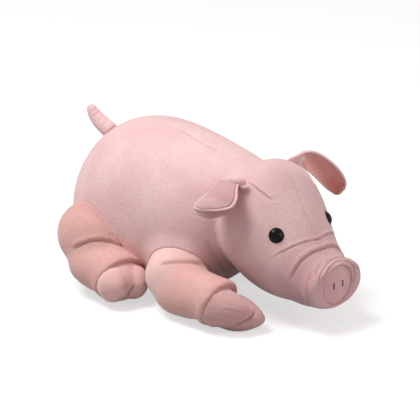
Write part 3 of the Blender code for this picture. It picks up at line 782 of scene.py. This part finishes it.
# Ahead of the cuff, aside towards the outer toe, above the floor, then half width, length and height
FRONT_LOBES = ((-0.002, 0.000, 0.0255, 0.0236, 0.0180, 0.0236), (0.007, 0.0065, 0.0270, 0.0175, 0.0290, 0.0190),
               (0.013, -0.0060, 0.0185, 0.0205, 0.0345, 0.0185))
REAR_LOBES = ((0.000, 0.000, 0.0250, 0.0262, 0.0215, 0.0228), (0.0065, 0.0110, 0.0245, 0.0180, 0.0175, 0.0195),
              (0.008, -0.0125, 0.0225, 0.0160, 0.0175, 0.0185))
# Cleft and instep line of the right front hoof and cleft of the right rear hoof, as rows of pixels
FRONT_CLEFT = ((232, 326.5), (240, 323.5), (248, 319.5), (254, 314.5), (255.5, 309), (253, 301), (248, 293))
FRONT_INSTEP = ((221, 309), (230, 310.5), (240, 312), (250, 313))
REAR_CLEFT = ((126.5, 301), (127.5, 297), (129.5, 292.5), (132.5, 288), (135, 285.5))
HOOF_LINES = {"front": (FRONT_CLEFT, FRONT_INSTEP), "rear": (REAR_CLEFT,)}
# Depth, width and how deep the painted shade is, for the cleft and then for the instep line
HOOF_CREASES = ((0.0016, 0.0013, 1.0), (0.0004, 0.0008, 0.5))
FRONT_HOOF_SLOPE = -0.12
REAR_HOOF_SLOPE = 0.0
TOE_POINT = 0.30
HOOF_ROUNDS = 3
# Room drawn in, most that the filling swells a hoof, and frames of the cloth
HOOF_STUFFING = (0.0004, 0.0010, 10)

# Mauve plush, darkened with painted shade in its creases and paled with painted light on the rear hooves
hoof_plush = plush("mauve_pink_plush", (0.66, 0.41, 0.39), (0.36, 0.17, 0.17), (0.84, 0.54, 0.51))
right_lines = {}
for side, side_name in SIDES:
    for place_name, lower, lobes, turn, slope in (
            ("front", FRONT_LOWER, FRONT_LOBES, FRONT_HOOF_TURN, FRONT_HOOF_SLOPE),
            ("rear", REAR_LOWER, REAR_LOBES, REAR_HOOF_TURN, REAR_HOOF_SLOPE)):
        name = f"{side_name}_{place_name}"
        middle, cuff = (Vector((side * station[0], station[1], 0.0)) for station in lower[1:])
        ahead = Matrix.Rotation(-side * turn, 3, "Z") @ (cuff - middle).normalized()
        outward = UP.cross(ahead) * side
        ahead = (ahead + UP * slope).normalized()
        forms = []
        for number, (forth, aside, rise, *halves) in enumerate(lobes):
            centre = cuff + ahead * forth + outward * aside + UP * rise
            forms.append(stuffed_ball(f"{name}_lobe_{number}", centre, halves, ahead, TOE_POINT))
        hoof = merge(f"{name}_hoof_skin", forms, HOOF_VOXEL)
        relax(hoof, HOOF_ROUNDS)
        stuff(hoof, *HOOF_STUFFING)
        subdivide(hoof, 1)
        # Painted light: the rear hooves are paler, as if lit where the legs and body shade them.
        if place_name == "rear":
            mark(hoof, "tone_and_painted_light", 1.0)
        surface = surface_of(hoof)
        if side == RIGHT:
            right_lines[place_name] = [track(surface, pixels) for pixels in HOOF_LINES[place_name]]
        for line, (depth, width, painted_shade) in zip(right_lines[place_name], HOOF_CREASES):
            if side == LEFT:
                line = to_left(line, surface)
            press(hoof, line, depth, width, painted_shade=painted_shade)
        flatten_below(hoof)
        cover(hoof, hoof_plush)
        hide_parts(f"{name}_hoof")
        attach(hoof, f"{name}_leg_body")

# Snout disc
# A round of mauve plush that closes the muzzle, slightly domed and set in the lip, with a short
# upright stitch of dark thread for each nostril.
DISC_RADIUS = 0.0204
DISC_THICKNESS = 0.0045
DISC_DOME = 0.0012
DISC_RIM_ROUNDNESS = 0.45
DISC_SINK = 0.0018
DISC_SEAM_RADIUS = DISC_RADIUS + 0.0004
DISC_SEAM_RISE = 0.001
DISC_SEAM_POINTS = 36
DISC_SEAM_SIZES = (0.0007, 0.0010)
STITCH_SPREAD = 0.0066
STITCH_HEIGHT = 0.0065
STITCH_RADIUS = 0.0006
STITCH_EDGE = STITCH_RADIUS * 0.4

# Its fold colour is painted shade, which the disc, having no creases, never shows
snout_plush = plush("snout_plush", (0.74, 0.46, 0.46), (0.36, 0.20, 0.20))
bm = bmesh.new()
bmesh.ops.create_uvsphere(bm, u_segments=64, v_segments=40, radius=1.0)
for vert in bm.verts:
    across = math.hypot(vert.co.x, vert.co.y)
    thickness = DISC_THICKNESS / 2.0 * math.copysign(abs(vert.co.z) ** DISC_RIM_ROUNDNESS, vert.co.z)
    dome = DISC_DOME * (1.0 - across * across) if vert.co.z > 0.0 else 0.0
    vert.co = Vector((vert.co.x * DISC_RADIUS, vert.co.y * DISC_RADIUS, thickness + dome))
disc_place = head_frame @ Matrix.Translation(
    FORWARD * (HEAD_REACH - DISC_SINK - DISC_THICKNESS / 2.0) - UP * MUZZLE_DROP)
disc_place = disc_place @ Matrix.Rotation(math.radians(90.0), 4, "X")
bmesh.ops.transform(bm, matrix=disc_place, verts=bm.verts)
disc = add_piece("snout_disc_skin", bm)
cover(disc, snout_plush)
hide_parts("snout_disc")
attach(disc, "head_body")

# The seam round the disc, pressed in and darkened with painted shade
disc_seam = []
for index in range(DISC_SEAM_POINTS + 1):
    angle = 2.0 * math.pi * index / DISC_SEAM_POINTS
    rim_point = Vector((math.cos(angle) * DISC_SEAM_RADIUS, math.sin(angle) * DISC_SEAM_RADIUS, DISC_SEAM_RISE))
    disc_seam.append(body_surface.find_nearest(disc_place @ rim_point)[0])
press(body, disc_seam, *DISC_SEAM_SIZES, fade=0.0)

thread, tree, shader = new_material("dark_thread")
shader.inputs["Roughness"].default_value = 0.8
strand = pattern(tree, "ShaderNodeTexWave", 1400.0)
strand.inputs["Distortion"].default_value = 1.5
strand.bands_direction = "DIAGONAL"
twist = strand.outputs["Fac"]
tree.links.new(mix(tree, (0.010, 0.006, 0.007), (0.035, 0.022, 0.024), twist), shader.inputs["Base Color"])
tree.links.new(raised(tree, twist, 0.5, 0.0002), shader.inputs["Normal"])
for side, side_name in SIDES:
    bm = bmesh.new()
    bmesh.ops.create_cone(bm, cap_ends=True, segments=16, radius1=STITCH_RADIUS, radius2=STITCH_RADIUS,
                          depth=STITCH_HEIGHT)
    bmesh.ops.bevel(bm, geom=bm.edges[:], offset=STITCH_EDGE, segments=2, profile=0.5, affect="EDGES", material=-1)
    middle = FORWARD * (HEAD_REACH - DISC_SINK + DISC_DOME) - UP * MUZZLE_DROP
    middle += Vector((side * STITCH_SPREAD, 0.0, 0.0))
    bmesh.ops.transform(bm, matrix=head_frame @ Matrix.Translation(middle), verts=bm.verts)
    stitch = add_piece(f"{side_name}_nostril_thread", bm)
    cover(stitch, thread)
    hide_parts(f"{side_name}_nostril_stitch")
    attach(stitch, "head_body")

# Eyes
# Polished black plastic domes with a fine rim, pressed into the plush and locked inside the head
# by white washers on their shanks.
EYE_PIXEL = (276.4, 235.5)
EYE_RADIUS = 0.0078
EYE_SINK = 0.0012
# Out from the middle, then above the plush, in eye radii
EYE_PROFILE = ((0.0, 0.60), (0.22, 0.585), (0.44, 0.53), (0.64, 0.43), (0.78, 0.31), (0.845, 0.235), (0.875, 0.235),
               (0.93, 0.25), (0.985, 0.19), (1.0, 0.09), (0.97, -0.02), (0.80, -0.10), (0.0, -0.12))
EYE_SEGMENTS = 72


def plastic(name, colour, grain, smooth, rough, specular):
    """Moulded plastic, whose roughness wavers in a fine grain between a smooth and a rough value."""
    material, tree, shader = new_material(name)
    shader.inputs["Base Color"].default_value = (*colour, 1.0)
    shader.inputs["Specular IOR Level"].default_value = specular
    waver = pattern(tree, "ShaderNodeTexNoise", grain).outputs["Fac"]
    tree.links.new(spread(tree, waver, bottom=smooth, top=rough), shader.inputs["Roughness"])
    return material


gloss = plastic("black_gloss_plastic", (0.003, 0.003, 0.004), 350.0, 0.05, 0.13, 0.12)
white_plastic = plastic("white_washer_plastic", (0.80, 0.80, 0.77), 900.0, 0.38, 0.52, 0.5)
near_eye, near_normal = body_surface.ray_cast(camera.location, sight(EYE_PIXEL))[:2]
far_eye, far_normal = body_surface.find_nearest(head_mirror @ near_eye)[:2]
for side_name, seat, facing in (("right", near_eye, near_normal), ("left", far_eye, far_normal)):
    bm = bmesh.new()
    verts = [bm.verts.new((out * EYE_RADIUS, 0.0, up * EYE_RADIUS)) for out, up in EYE_PROFILE]
    edges = [bm.edges.new(pair) for pair in zip(verts, verts[1:])]
    bmesh.ops.spin(bm, geom=verts + edges, cent=(0, 0, 0), axis=(0, 0, 1), angle=2.0 * math.pi,
                   steps=EYE_SEGMENTS, use_merge=True)
    bmesh.ops.remove_doubles(bm, verts=bm.verts, dist=1e-6)
    bmesh.ops.recalc_face_normals(bm, faces=bm.faces)
    turn = facing.to_track_quat("Z", "Y").to_matrix().to_4x4()
    bmesh.ops.transform(bm, matrix=Matrix.Translation(seat - facing * EYE_SINK) @ turn, verts=bm.verts)
    eye = add_piece(f"{side_name}_eye_dome", bm)
    subdivide(eye, 1)
    cover(eye, gloss)
    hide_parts(f"{side_name}_eye")
    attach(eye, "head_body")
    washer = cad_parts[f"{side_name}_eye_washer"]
    cover(washer, white_plastic)

# Ears
# Each ear is the body's plush outside and a dusky lining inside, sewn edge to edge and turned, so
# that the outer fabric rolls round the rim. The near ear has flopped back, the far one stands out.
EAR_ROWS = 64
EAR_COLUMNS = 44
EAR_OUTER_LAYER = 0.0026
EAR_LINING_LAYER = 0.0014
EAR_RIM = 0.0013
EAR_RIM_WIDTH = 0.075
TIP_RIM_SHARE = 0.8
# Behind the rim runs a groove: its place and width in rim widths, and its depth in rim heights
GROOVE_PLACE, GROOVE_WIDTH, GROOVE_DEPTH = 2.6, 0.8, 0.8
SPINE_STEP = 0.1
LAYER_OVERLAP = 0.0003
# For each row from root to tip: the pixel and the distance from the middle plane of its upper and
# of its lower edge, then how far its middle bulges outward
RIGHT_EAR_ROWS = (
    ((226, 179), -0.036, (241, 183), -0.045, 0.000),
    ((221.5, 181), -0.046, (238.5, 186.5), -0.054, 0.003),
    ((215.5, 187), -0.056, (238, 193.5), -0.062, 0.005),
    ((209.5, 193), -0.065, (237.5, 201), -0.068, 0.006),
    ((203, 198.5), -0.073, (232.5, 208.5), -0.074, 0.005),
    ((198, 202.5), -0.080, (221, 211.5), -0.081, 0.004),
    ((195, 206), -0.085, (207, 211), -0.086, 0.002),
    ((195, 209), -0.087, (198, 210), -0.088, 0.000),
)
# The turned under edge of the near ear shows as a strip below it
RIGHT_UNDER_ROWS = (
    ((228, 181), -0.038, (237, 188), -0.045, 0.000),
    ((222, 184), -0.047, (236, 194), -0.054, 0.003),
    ((216, 190), -0.056, (235.5, 202), -0.062, 0.005),
    ((210, 196), -0.065, (231, 210), -0.068, 0.006),
    ((204.5, 201), -0.073, (221, 215.5), -0.074, 0.005),
    ((200, 204.5), -0.080, (210, 217.5), -0.081, 0.004),
    ((197, 207), -0.085, (201, 215), -0.086, 0.002),
    ((196.5, 209.5), -0.087, (197, 212), -0.088, 0.000),
)
LEFT_EAR_ROWS = (
    ((288, 159), 0.030, (294, 172), 0.042, 0.000),
    ((297, 155), 0.040, (301, 172), 0.048, 0.003),
    ((306, 151), 0.050, (306.5, 170.5), 0.056, 0.006),
    ((316.5, 152), 0.060, (312.5, 175), 0.064, 0.008),
    ((328, 158.5), 0.070, (318.5, 181.5), 0.072, 0.008),
    ((338.5, 168), 0.079, (325, 187.8), 0.079, 0.007),
    ((344.5, 177), 0.085, (331.5, 192.2), 0.084, 0.005),
    ((346, 183.5), 0.087, (336, 193.8), 0.087, 0.002),
    ((344.5, 189), 0.088, (340.5, 193), 0.088, 0.000),
)
# The gathered fold where each ear is sewn in, as pixel, distance from the middle plane and radius
RIGHT_ROOT_FOLD = (((221.5, 181), -0.048, 0.0030), ((226.5, 181), -0.051, 0.0050), ((232, 181.2), -0.052, 0.0056),
                   ((237.5, 181), -0.051, 0.0053), ((242, 181.5), -0.048, 0.0042), ((246, 183.5), -0.044, 0.0026))
LEFT_ROOT_FOLD = (((289, 163), 0.036, 0.0030), ((294, 161), 0.040, 0.0046), ((299.5, 158.5), 0.045, 0.0046),
                  ((305, 156.5), 0.051, 0.0030))

# The lining's deep colour is a painted red of shade and of light through the ear, and its second colour is painted
# light
ear_lining = plush("ear_lining_plush", (0.66, 0.44, 0.43), (0.74, 0.20, 0.13), (0.92, 0.50, 0.44))
# Where across an ear painted shade deepens the colour towards its lower edge, in spreads of the layer from its
# middle;
# on the far ear it reaches over most of the lining, as painted shade and a painted red glow of light through the
# ear
LINING_PAINTED_SHADE = {"right": (2.2, 3.0), "left": (-0.6, 2.0)}
TURNED_EDGE_PAINTED_SHADE = (-0.2, 1.4)


def on_curve(values, place):
    """A value at a place on the smooth curve through a row of values."""
    row = min(int(place), len(values) - 2)
    part = place - row
    before, first, second, after = (values[min(max(row + step, 0), len(values) - 1)] for step in (-1, 0, 1, 2))
    return (first * 2.0 + (second - before) * part
            + (before * 2.0 - first * 5.0 + second * 4.0 - after) * part ** 2
            + (first * 3.0 - before - second * 3.0 + after) * part ** 3) * 0.5


def ear_layer(name, side, rows, across_from, across_to, reach, inset, thickness, rim):
    """One layer of an ear, spread between the rows' edges, bulged outward and thick along its rim."""
    uppers = [seen_aside(upper_aside, upper) for upper, upper_aside, *_ in rows]
    lowers = [seen_aside(lower_aside, lower) for _, _, lower, lower_aside, _ in rows]
    bulges = [bulge for *_, bulge in rows]
    middles = [upper + lower for upper, lower in zip(uppers, lowers)]
    bm = bmesh.new()
    bmesh.ops.create_grid(bm, x_segments=EAR_ROWS, y_segments=EAR_COLUMNS, size=1.0)
    for vert in bm.verts:
        along = reach[0] + (reach[1] - reach[0]) * (vert.co.x + 1.0) / 2.0
        across = across_from + (across_to - across_from) * (vert.co.y + 1.0) / 2.0
        edge = min(1.0 - abs(vert.co.y), (1.0 - vert.co.x) * TIP_RIM_SHARE)
        place = along * (len(rows) - 1)
        upper, lower, bulge = (on_curve(values, place) for values in (uppers, lowers, bulges))
        spine = (on_curve(middles, min(place + SPINE_STEP, len(rows) - 1.0))
                 - on_curve(middles, max(place - SPINE_STEP, 0.0)))
        outward = (lower - upper).cross(spine).normalized()
        if outward.dot(Vector((side, 0.0, 0.6))) < 0.0:
            outward = -outward
        groove = math.exp(-((edge - GROOVE_PLACE * EAR_RIM_WIDTH) / (GROOVE_WIDTH * EAR_RIM_WIDTH)) ** 2)
        roll = rim * (math.exp(-((edge - EAR_RIM_WIDTH) / EAR_RIM_WIDTH) ** 2) - GROOVE_DEPTH * groove)
        height = bulge * (1.0 - across * across) - inset + roll
        vert.co = upper.lerp(lower, 0.5 + across / 2.0) + outward * height
    for _ in range(2):
        bmesh.ops.smooth_vert(bm, verts=bm.verts, factor=0.5, use_axis_x=True, use_axis_y=True, use_axis_z=True)
    bmesh.ops.recalc_face_normals(bm, faces=bm.faces)
    layer = add_piece(name, bm)
    wall = layer.modifiers.new("Wall", "SOLIDIFY")
    wall.thickness = thickness
    wall.offset = 0.0
    bake_modifiers(layer)
    subdivide(layer, 1)
    return layer


def paint_shade_and_light(item, rows, span, painted_light_share):
    """Paint shade into a layer's colour towards the hollow at its lower edge, and paint light over the whole of it
    by a share.
    """
    across = np.array([tuple(seen_aside(lower_aside, lower) - seen_aside(upper_aside, upper))
                       for upper, upper_aside, lower, lower_aside, _ in rows]).mean(axis=0)
    across /= np.linalg.norm(across)
    level = places(item) @ across
    level = (level - level.mean()) / level.std()
    mark(item, "fold", smooth_step(level, *span))
    mark(item, "tone_and_painted_light", painted_light_share)


# The lining faces outward on the near ear, where the ear has flopped open, and forward on the far one
LINING_STEP = (EAR_OUTER_LAYER + EAR_LINING_LAYER) / 2.0 - LAYER_OVERLAP
for side, side_name, rows, across, reach, inset in (
        (RIGHT, "right", RIGHT_EAR_ROWS, (-0.84, 0.84), (0.12, 0.93), -LINING_STEP),
        (LEFT, "left", LEFT_EAR_ROWS, (-0.56, 0.93), (0.22, 0.95), LINING_STEP)):
    outer = ear_layer(f"{side_name}_ear_skin", side, rows, -1.0, 1.0, (0.0, 1.0), 0.0, EAR_OUTER_LAYER,
                      -EAR_RIM * side)
    lining = ear_layer(f"{side_name}_ear_lining_skin", side, rows, *across, reach, inset, EAR_LINING_LAYER, 0.0)
    # The far ear's lining is lit paler all over with painted light
    paint_shade_and_light(lining, rows, LINING_PAINTED_SHADE[side_name], 1.0 if side == LEFT else 0.0)
    for piece, node, slot, material in ((outer, f"{side_name}_ear", "pale_plush", body_plush),
                                        (lining, f"{side_name}_ear_lining", "ear_lining_plush", ear_lining)):
        cover(piece, material)
        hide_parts(node)
        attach(piece, f"{side_name}_ear_body")

under = ear_layer("right_ear_turned_edge", RIGHT, RIGHT_UNDER_ROWS, -0.9, 1.0, (0.04, 1.0),
                  EAR_OUTER_LAYER - LAYER_OVERLAP, EAR_OUTER_LAYER, 0.0)
# Painted shade darkens the turned edge towards its lower side
paint_shade_and_light(under, RIGHT_UNDER_ROWS, TURNED_EDGE_PAINTED_SHADE, 0.0)
cover(under, body_plush)
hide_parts("right_ear")
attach(under, "right_ear_body")


def rings_along(points, radii):
    """Round rings strung along a row of points, each square to the row."""
    rings = []
    for index, (point, radius) in enumerate(zip(points, radii)):
        before, after = points[max(index - 1, 0)], points[min(index + 1, len(points) - 1)]
        rings.append((point, (after - before).normalized(), radius, radius))
    return rings


for side, side_name, stations in ((RIGHT, "right", RIGHT_ROOT_FOLD), (LEFT, "left", LEFT_ROOT_FOLD)):
    points = [seen_aside(aside, pixel) for pixel, aside, _ in stations]
    fold = loft(f"{side_name}_ear_root_fold", rings_along(points, [radius for *_, radius in stations]))
    cover(fold, body_plush)
    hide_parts(f"{side_name}_ear")
    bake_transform(fold)

# Tail
# A thin stuffed tube of the body's plush, sewn shut at its tip and sewn to the rump at its root.
# It leans back, bends upright near its tip, and wrinkles on the inner side of the bend.
# From root to tip: the pixel of the tail's middle and its radius
TAIL_STATIONS = (((114, 133), 0.0090), ((107, 128), 0.0088), ((102, 123), 0.0086), ((98, 118.8), 0.0078),
                 ((94.8, 114.5), 0.0071), ((92.5, 110.5), 0.0062), ((90.8, 107.3), 0.0048), ((89.5, 104.8), 0.0028))
# The pixels at the two ends of each wrinkle across the tail, and where along it the tail is looked for
TAIL_WRINKLES = (((110, 116), (99, 130)), ((106, 113), (95, 124)), ((101, 110), (91, 118)), ((98, 107), (89, 113)))
WRINKLE_PARTS = (0.15, 0.4, 0.6, 0.85)
WRINKLE_SIZES = (0.0007, 0.0010, 0.0004)
# How far painted shade darkens each wrinkle
WRINKLE_PAINTED_SHADE = 0.6

tail_points = [(seen_aside(0.0, pixel), radius) for pixel, radius in TAIL_STATIONS]
tail = loft("tail_skin", rings_along(*zip(*tail_points)))
tail_surface = surface_of(tail)
for (first_x, first_y), (last_x, last_y) in TAIL_WRINKLES:
    wrinkle = track(tail_surface, [(first_x + (last_x - first_x) * part, first_y + (last_y - first_y) * part)
                                   for part in WRINKLE_PARTS])
    if len(wrinkle) > 1:
        press(tail, wrinkle, *WRINKLE_SIZES, painted_shade=WRINKLE_PAINTED_SHADE)
cover(tail, body_plush)
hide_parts("tail")
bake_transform(tail)

# Studio
# A white floor and surround that are seen bright but throw less light on the pig, as a lit table
# does. Soft light comes from behind and above its right flank, with a weaker lamp in front.
FLOOR_SIZE = 6.0
FLOOR_DROP = 0.0004
FLOOR_GLOW = 0.60
SURROUND_LIGHT = 0.33

floor_mesh = bmesh.new()
bmesh.ops.create_grid(floor_mesh, x_segments=1, y_segments=1, size=FLOOR_SIZE)
floor = add_piece("studio_floor", floor_mesh)
floor.location.z = -FLOOR_DROP
white, tree, shader = new_material("studio_white")
shader.inputs["Base Color"].default_value = (0.50, 0.50, 0.50, 1.0)
shader.inputs["Roughness"].default_value = 1.0
shader.inputs["Emission Color"].default_value = (1.0, 1.0, 1.0, 1.0)


def seen_directly(tree):
    """1 for what the camera sees, straight or by way of gloss or glass, and 0 for light on the pig."""
    rays = tree.nodes.new("ShaderNodeLightPath")
    seen = rays.outputs["Is Camera Ray"]
    for way in ("Is Glossy Ray", "Is Transmission Ray"):
        total = tree.nodes.new("ShaderNodeMath")
        total.use_clamp = True
        tree.links.new(seen, total.inputs[0])
        tree.links.new(rays.outputs[way], total.inputs[1])
        seen = total.outputs[0]
    return seen


tree.links.new(spread(tree, seen_directly(tree), top=FLOOR_GLOW), shader.inputs["Emission Strength"])
cover(floor, white)

world = bpy.data.worlds.new("studio")
bpy.context.scene.world = world
world.use_nodes = True
tree = world.node_tree
direct = seen_directly(tree)
background = tree.nodes["Background"]
tree.links.new(mix(tree, (1.0, 0.88, 0.88), (1.0, 1.0, 1.0), direct), background.inputs["Color"])
tree.links.new(spread(tree, direct, bottom=SURROUND_LIGHT), background.inputs["Strength"])


def soft_light(name, place, size, power):
    """A square lamp that faces the pig."""
    lamp = bpy.data.lights.new(name, "AREA")
    lamp.size = size
    lamp.energy = power
    item = bpy.data.objects.new(name, lamp)
    bpy.context.scene.collection.objects.link(item)
    item.location = place
    item.rotation_euler = (aim - Vector(place)).to_track_quat("-Z", "Y").to_euler()


soft_light("key_light", (-0.70, 0.60, 2.0), 0.9, 39.0)
soft_light("front_light", (0.5, -2.0, 1.0), 1.0, 12.5)
bpy.context.scene.view_settings.view_transform = "Standard"
